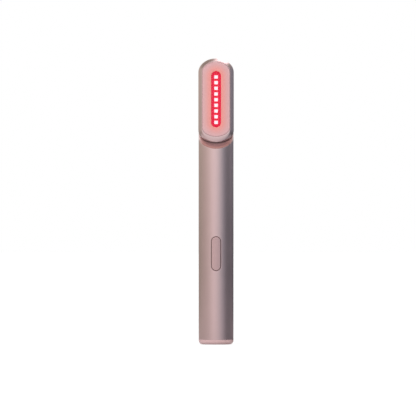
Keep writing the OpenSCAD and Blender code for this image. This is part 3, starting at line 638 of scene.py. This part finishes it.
shell = Skin()
rim_turn = 40.0
section = side_and_back(0, rim_turn)
rim_half = section[0][0] - (section[0][1] - head_front) * math.tan(math.radians(rim_turn))
rim_inner = plate_ring(head_front, -0.07)
rim_crease = head_ring(rim_half, head_front)
rim_outer = head_ring(*section[0])
rings = [shell.ring(plate_ring(plate_seat, ledge_w)), shell.ring(plate_ring(plate_seat, 0)),
    shell.ring(plate_ring(head_front + 0.07, 0)), shell.ring(plate_ring(head_front + 0.02, -0.02))]
for i in range(10):
    t = i / 10
    rings.append(shell.ring([Vector(a) * (1 - t) ** 2 + Vector(b) * 2 * t * (1 - t) + Vector(c) * t * t
        for a, b, c in zip(rim_inner, rim_crease, rim_outer)]))
rings += [shell.ring(head_ring(x, y)) for x, y in section]
shell.bands(rings)
edit = shell.solid()

hollow = Skin()
cavity_first = math.degrees(math.asin((head_arc_y - ledge_back) / (side_r - head_wall)))
rings = [hollow.ring(plate_ring(plate_seat, ledge_w)), hollow.ring(plate_ring(ledge_back, ledge_w))]
rings += [hollow.ring(head_ring(x, y, head_wall)) for x, y in side_and_back(head_wall, cavity_first)]
hollow.bands(rings)
inner = hollow.solid()

axis = Vector((0, -1, 1)).normalized()
joint = Vector((0, 0, joint_z / 1000))


def cut_floor(edit, rise, steps=()):
    """Cuts away what lies below the plane and closes it with a floor that has the shaft's hole.

    The steps, each an inset and a drop in millimetres, lead from the cut down to the floor.
    """
    everything = edit.verts[:] + edit.edges[:] + edit.faces[:]
    plane = joint + axis * (rise + sum(drop for _, drop in steps)) / 1000
    cut = bmesh.ops.bisect_plane(edit, geom=everything, plane_co=plane, plane_no=axis,
        clear_inner=True, dist=1e-7)
    edges = [e for e in cut["geom_cut"] if isinstance(e, bmesh.types.BMEdge)]
    for inset, drop in steps:
        grown = bmesh.ops.extrude_edge_only(edit, edges=edges)["geom"]
        edges = [e for e in grown if isinstance(e, bmesh.types.BMEdge) and e.is_boundary]
        for vert in {v for e in edges for v in e.verts}:
            vert.co -= (vert.co - plane).normalized() * inset / 1000
            vert.co.z -= slant * drop / 1000
        plane = plane - axis * drop / 1000
    across = Vector((1, 0, 0))
    up = axis.cross(across)
    circle = []
    for i in range(hole_sides):
        a = math.radians(360 / hole_sides * i)
        circle.append(edit.verts.new(plane + (across * math.cos(a) + up * math.sin(a))
            * shaft_hole / 1000))
    edges += [edit.edges.new((circle[i - 1], circle[i])) for i in range(hole_sides)]
    bmesh.ops.triangle_fill(edit, edges=edges, use_beauty=True, use_dissolve=False)


def in_order(edit):
    """Lists points and faces by their places, because a cut lists them in another order each run."""
    for parts, place in ((edit.verts, lambda v: tuple(v.co)),
            (edit.faces, lambda f: tuple(f.calc_center_median()))):
        rank = {part: i for i, part in enumerate(sorted(parts, key=place))}
        parts.sort(key=rank.get)
        parts.index_update()


rounded_cut = ((0.01, 0.045), (0.025, 0.04), (0.04, 0.025), (0.045, 0.01), (0.33, 0.0), (0.0, 0.2))
cut_floor(edit, floor_rise, rounded_cut)
cut_floor(inner, floor_rise + head_wall)
spare = bpy.data.meshes.new("spare")
inner.to_mesh(spare)
inner.free()
edit.from_mesh(spare)
bpy.data.meshes.remove(spare)
merge(edit)
rims = [e for e in edit.edges if e.is_boundary]
bmesh.ops.bridge_loops(edit, edges=rims)
bmesh.ops.recalc_face_normals(edit, faces=edit.faces)
in_order(edit)
head_anodised = anodised("head_anodised", rose, 0.24)
piece("head_shell_skin", edit, "head", head_anodised, ["head_shell"])


# Treatment plate: pale polished plate with a rounded edge, pressed into the recess of the head.
# A slot lets the light through; next to it the warm salmon that the lights cast is painted into the
# plate's colour and emission.
plate_front = -6.05
plate_gap = 0.04
plate_z = (plate_low + plate_top) / 2
window_w = 5.2
window_l = 29.9
plate = Skin()
slot_ends = 22
slot_sides = 10


def slot_ring(skin, y, gap):
    """Ring of the slot's outline, with as many points as the plate's."""
    return skin.ring([(x, y, plate_z + z) for x, z in
        stadium(window_w + 2 * gap, window_l + 2 * gap, 2 * slot_ends, slot_sides)])


rings = [plate.ring(plate_ring(y, plate_gap + i)) for y, i in ((plate_seat, 0),
    (plate_front + 0.18, 0), (plate_front + 0.09, 0.024), (plate_front + 0.024, 0.09),
    (plate_front, 0.18), (plate_front, 0.5))]
rings += [slot_ring(plate, y, gap) for y, gap in ((plate_front, 0.5), (plate_front, 0.12),
    (plate_front + 0.035, 0.035), (plate_front + 0.12, 0), (plate_seat, 0))]
plate.bands(rings + [rings[0]])

pale = Finish("pale_plate", {"Metallic": 0.55, "Emission Strength": 1.0})
across, _, height = pale.places()
window_straight = (window_l - window_w) / 2
beyond = ((height - plate_z).take("ABSOLUTE") - window_straight).take("MAXIMUM", 0.0)
away = (across * across + beyond * beyond).take("SQRT")
# Painted light: glow is the lights' salmon tint, strongest next to the slot, in colour and emission.
glow = (1 - pale.ramp(away, 2.0, 9.0)) ** 1.5
satin = pale.grain(0.2, 2.0)
haze = pale.grain(6.0, 2.0)
pale.feed("Base Color", pale.mix(glow, pale.mix(0.7 * haze + 0.3 * satin, (0.71, 0.435, 0.45),
    (0.75, 0.465, 0.48)), (0.80, 0.315, 0.285)))
pale.feed("Emission Color", pale.mix(glow, (0.0, 0.0, 0.0), (0.11, 0.02, 0.012)))
pale.feed("Roughness", 0.34 + 0.06 * satin)
pale.relief(satin, 0.001)
piece("treatment_plate_skin", plate.solid(), "head", pale.material,
    ["treatment_plate"])


# Light window: red tinted clear plastic, flush in the plate's slot, with a flange behind it. Its glow
# from the lights is painted into its emission, most beside each light and least between them.
window = Skin()
lens_gap = -0.03
rings = [slot_ring(window, y, gap) for y, gap in ((ledge_back, 1.1), (plate_seat, 1.1),
    (plate_seat, lens_gap), (plate_front + 0.1, lens_gap), (plate_front + 0.03, lens_gap - 0.03),
    (plate_front, lens_gap - 0.1), (plate_front, -1.2), (plate_front, -window_w / 2))]
window.bands(rings)
window.cap(rings[0])

led_n = 9
led_pitch = 3.02
led_low = plate_z - led_pitch * (led_n - 1) / 2
tint = Finish("red_window", {"Emission Strength": 1.0, "Alpha": 0.42, "Roughness": 0.12,
    "IOR": 1.49})
across, _, height = tint.places()
# Painted glow: the emission is dimmer between the lights and at the window's ends.
step = (height - led_low).take("PINGPONG", led_pitch / 2) / (led_pitch / 2)
between = tint.ramp(step, 0.55, 0.95) * (1 - tint.ramp(across.take("ABSOLUTE"), 1.2, 2.4))
ends = tint.ramp((height - plate_z).take("ABSOLUTE"), 12.6, 14.4)
dark = between.take("MAXIMUM", ends * 0.6)
haze = tint.grain(0.6, 2.0)
tint.feed("Base Color", tint.mix(haze, (0.52, 0.012, 0.035), (0.60, 0.018, 0.045)))
tint.feed("Emission Color", tint.mix(dark, (0.46, 0.016, 0.06), (0.41, 0.01, 0.03)))
tint.relief(haze, 0.001)
piece("light_window_skin", window.solid(), "head", tint.material, ["light_window"])


# Lights: nine square white chips in one row on the light board, each with a cup and a shallow lens.
# The board, its white tray, the warming film and the motor's carrier are screwed behind the window.
chip_half = 1.05
chip_front = -3.3
chip_back = -2.5
chips = Skin()
for i in range(led_n):
    centre = led_low + led_pitch * i
    rings = []
    for y, inset, r in ((chip_back, 0, 0.25), (chip_front + 0.08, 0, 0.25), (chip_front, 0.08, 0.2),
            (chip_front, 0.22, 0.3), (chip_front + 0.1, 0.3, 0.35), (chip_front + 0.04, 0.55, 0.3),
            (chip_front + 0.02, 0.75, 0.2)):
        half = chip_half - inset - r
        corners = []
        for sx, sz, first in ((1, 1, 0), (-1, 1, 90), (-1, -1, 180), (1, -1, 270)):
            corners += [(sx * half + r * math.cos(math.radians(first + 18 * k)), y,
                centre + sz * half + r * math.sin(math.radians(first + 18 * k))) for k in range(6)]
        rings.append(chips.ring(corners))
    chips.bands(rings)
    chips.cap(rings[0])
    chips.cap(rings[-1])
lit = Finish("light_chip", {"Emission Strength": 2.5, "Roughness": 0.4})
fine = lit.grain(0.1, 2.0)
across, depth, height = lit.places()
glow_drop = 0.2
step = (height + glow_drop - led_low).take("PINGPONG", led_pitch / 2)
square = 1 - lit.ramp(across.take("ABSOLUTE").take("MAXIMUM", step + 0.04), 0.86, 0.98)
face = square * (1 - lit.ramp(depth, chip_front + 0.1, chip_front + 0.25))
# Painted red light: outside its lit square each chip is painted dark red with a faint red glow.
lit.feed("Base Color", lit.mix(face, (0.45, 0.05, 0.07), lit.mix(fine, (0.90, 0.84, 0.84),
    (0.98, 0.94, 0.94))))
lit.feed("Emission Color", lit.mix(face, (0.12, 0.0, 0.01), lit.mix(fine, (1.0, 0.95, 0.96),
    (1.0, 0.99, 0.99))))
lit.relief(fine, 0.002)
piece("lights_skin", chips.solid(), "head", lit.material, ["lights"])

amber_film = mottled("amber_film", (0.85, 0.47, 0.13), (0.74, 0.36, 0.09), 0.8, 0.3, 0.004,
    stretch=(1.0, 1.0, 0.1))


def in_red_light(name, tone, shade):
    """A white piece close behind the window, with the red flood of the lights painted into its colour and
    emission.
    """
    made = Finish(name, {"Emission Strength": 1.0, "Roughness": 0.5, "Specular IOR Level": 0.1})
    spots = made.grain(0.6, 3.0)
    made.feed("Base Color", made.mix(spots, [c * 0.9 for c in tone], tone))
    made.feed("Emission Color", made.mix(spots, [c * 0.85 for c in shade], shade))
    made.relief(spots, 0.004)
    return made.material


lit_tray = in_red_light("white_plastic_in_red_light", (0.30, 0.0, 0.015), (0.44, 0.0, 0.03))
lit_board = in_red_light("white_board_in_red_light", (0.30, 0.0, 0.01), (0.38, 0.0, 0.01))
dress(["light_tray"], lit_tray)
dress(["motor_carrier"], white_plastic)
dress(["light_board"], lit_board)
dress(["warming_film"], amber_film, 0.0)
dress(["head_screws"], bright_steel)
dress(["head_leads"], red_insulation, 0.0)


# Vibration motor: a steel can with a moulded cap, in a rubber sleeve in the carrier. Its shaft
# carries a half-round sintered weight, which shakes the head as it spins.
dress(["motor_can"], bright_steel)
dress(["motor_cap"], black_plastic)
dress(["motor_sleeve"], grey_rubber)
dress(["motor_shaft"], bright_steel)
dress(["eccentric_weight"], weight_metal, 0.08)


# Studio: a pale floor and white surroundings, a soft lamp at the front left and a weak one at the
# front right. A paper tent, seen only in reflections, is bright in front, duller at the left and
# dark at the right, with a bright strip across its roof.
def background(finish, strength):
    """So much light for camera, glossy and transmitted rays, and none for others."""
    ray = finish.node("ShaderNodeLightPath")
    seen = ray.also("Is Camera Ray") + ray.also("Is Glossy Ray") + ray.also("Is Transmission Ray")
    return finish.node("ShaderNodeClamp", sockets={0: seen}) * strength


def stage_piece(name, edit, material):
    made = smooth_object(name, edit, material)
    return made


floor = Skin()
half_floor = 6000
floor.cap(floor.ring([(x * half_floor, y * half_floor, 0) for x, y in
    ((-1, -1), (1, -1), (1, 1), (-1, 1))]))
paper = Finish("pale_floor", {"Base Color": (0.6, 0.6, 0.6, 1), "Roughness": 0.9,
    "Specular IOR Level": 0.0, "Emission Strength": 1.0})
level = background(paper, 0.68)
paper.feed("Emission Color", paper.mix(level, (0, 0, 0), (1, 1, 1)))
stage_piece("floor", floor.solid(), paper.material)

tent_r = 300
tent = Skin()
rings = []
for r, z in ((14, 0.4), (60, 0.4), (tent_r - 20, 0.4), (tent_r, 20), (tent_r, 60), (tent_r, 120),
        (tent_r, 180), (tent_r, 240), (270, 320), (200, 390), (100, 430), (5, 440)):
    rings.append(tent.ring([(r * math.sin(math.radians(5 * i)), -r * math.cos(math.radians(5 * i)), z)
        for i in range(72)]))
tent.bands(rings)
tent.cap(rings[-1])
walls = Finish("tent_paper", {"Base Color": (0, 0, 0, 1), "Specular IOR Level": 0.0,
    "Emission Strength": 1.0})
x, y, z = walls.places()
turn = x.take("ARCTAN2", y * -1) / (2 * math.pi) + 0.5
tones = [(-180, (0.72, 0.70, 0.66)), (-150, (0.54, 0.55, 0.47)), (-110, (0.54, 0.56, 0.48)),
    (-72, (0.57, 0.58, 0.50)), (-52, (0.69, 0.67, 0.61)), (-32, (0.86, 0.85, 0.79)),
    (-14, (1.02, 1.02, 1.0)), (-2, (0.98, 1.0, 0.99)), (14, (0.76, 0.82, 0.82)),
    (28, (0.50, 0.59, 0.64)), (42, (0.24, 0.29, 0.34)), (60, (0.19, 0.225, 0.24)),
    (92, (0.29, 0.335, 0.385)), (118, (0.20, 0.25, 0.28)), (150, (0.24, 0.26, 0.28)),
    (180, (0.72, 0.70, 0.66))]
wall_tone = walls.node("ShaderNodeValToRGB", {"stops": [((a + 180) / 360, c) for a, c in tones]},
    {"Fac": turn})
lift = 0.80 + 0.20 * walls.ramp(z, 0, 110) + 0.16 * walls.ramp(z, 115, 145)
strip_z = 130
tilt = x.take("ARCTAN2", z - strip_z) * (180 / math.pi)
left_end = y.take("MINIMUM", 0.0) * 0.05 + 5
strip = walls.ramp(tilt - left_end, -16, 4) * (1 - walls.ramp(tilt, 31, 43)) * walls.ramp(z, 200, 260)
strip = strip * (1 - walls.ramp(y * -1, 100, 180) * (1 - walls.ramp(z, 320, 380)))
radius = (x * x + y * y).take("SQRT")
near = 1 - walls.ramp(radius, 25, 50)
around = (1 - walls.ramp(radius, 220, 280)) * (1 - walls.ramp(z, 2, 10))
foot_tone = walls.mix(walls.ramp(x, -5, 20), (0.88, 0.88, 0.86), (0.26, 0.29, 0.33))
right_tone = walls.mix(walls.ramp(y, -60, 40), (0.66, 0.69, 0.73), (1.08, 1.10, 1.12))
floor_tone = walls.mix(walls.ramp(x, -20, 60), (1.1, 1.08, 1.06), right_tone)
base = walls.mix(around, wall_tone, walls.mix(near, floor_tone, foot_tone))
base = walls.mix(walls.ramp(z, 240, 340), base, (0.32, 0.32, 0.27))
low = 1 - walls.ramp(z, 0, 140)
angle = turn * 360 - 180
left_dip = 1 - walls.ramp(angle, -40, -12)
right_dip = walls.ramp(angle, 32, 52)
lift = lift * (1 - 0.2 * low * left_dip) * (1 - 0.5 * low * right_dip)
walls.feed("Emission Color", walls.node("ShaderNodeVectorMath", {"operation": "SCALE"},
    {0: walls.mix(strip, base, (1, 1, 1)), 3: lift + strip * 1.05}))
walls.material.cycles.emission_sampling = "NONE"
tent_piece = stage_piece("tent", tent.solid(), walls.material)
for way in ("camera", "diffuse", "transmission", "shadow", "volume_scatter"):
    setattr(tent_piece, "visible_" + way, False)

for name, place, power in (("key_lamp", (-0.6, -0.9, 0.42), 1.9),
        ("fill_lamp", (0.9, -0.6, 0.4), 0.5)):
    lamp = bpy.data.lights.new(name, "SUN")
    lamp.angle = math.radians(35)
    lamp.energy = power
    made = bpy.data.objects.new(name, lamp)
    studio.collection.objects.link(made)
    made.location = place
    made.rotation_euler = (-Vector(place)).to_track_quat("-Z", "Y").to_euler()
    made.visible_glossy = False

sky = Finish("white_surroundings", {"Color": (1, 1, 1, 1)}, "worlds", "Background")
sky.feed("Strength", background(sky, 0.55) + 0.45)
studio.world = sky.material
studio.view_settings.view_transform = "Standard"
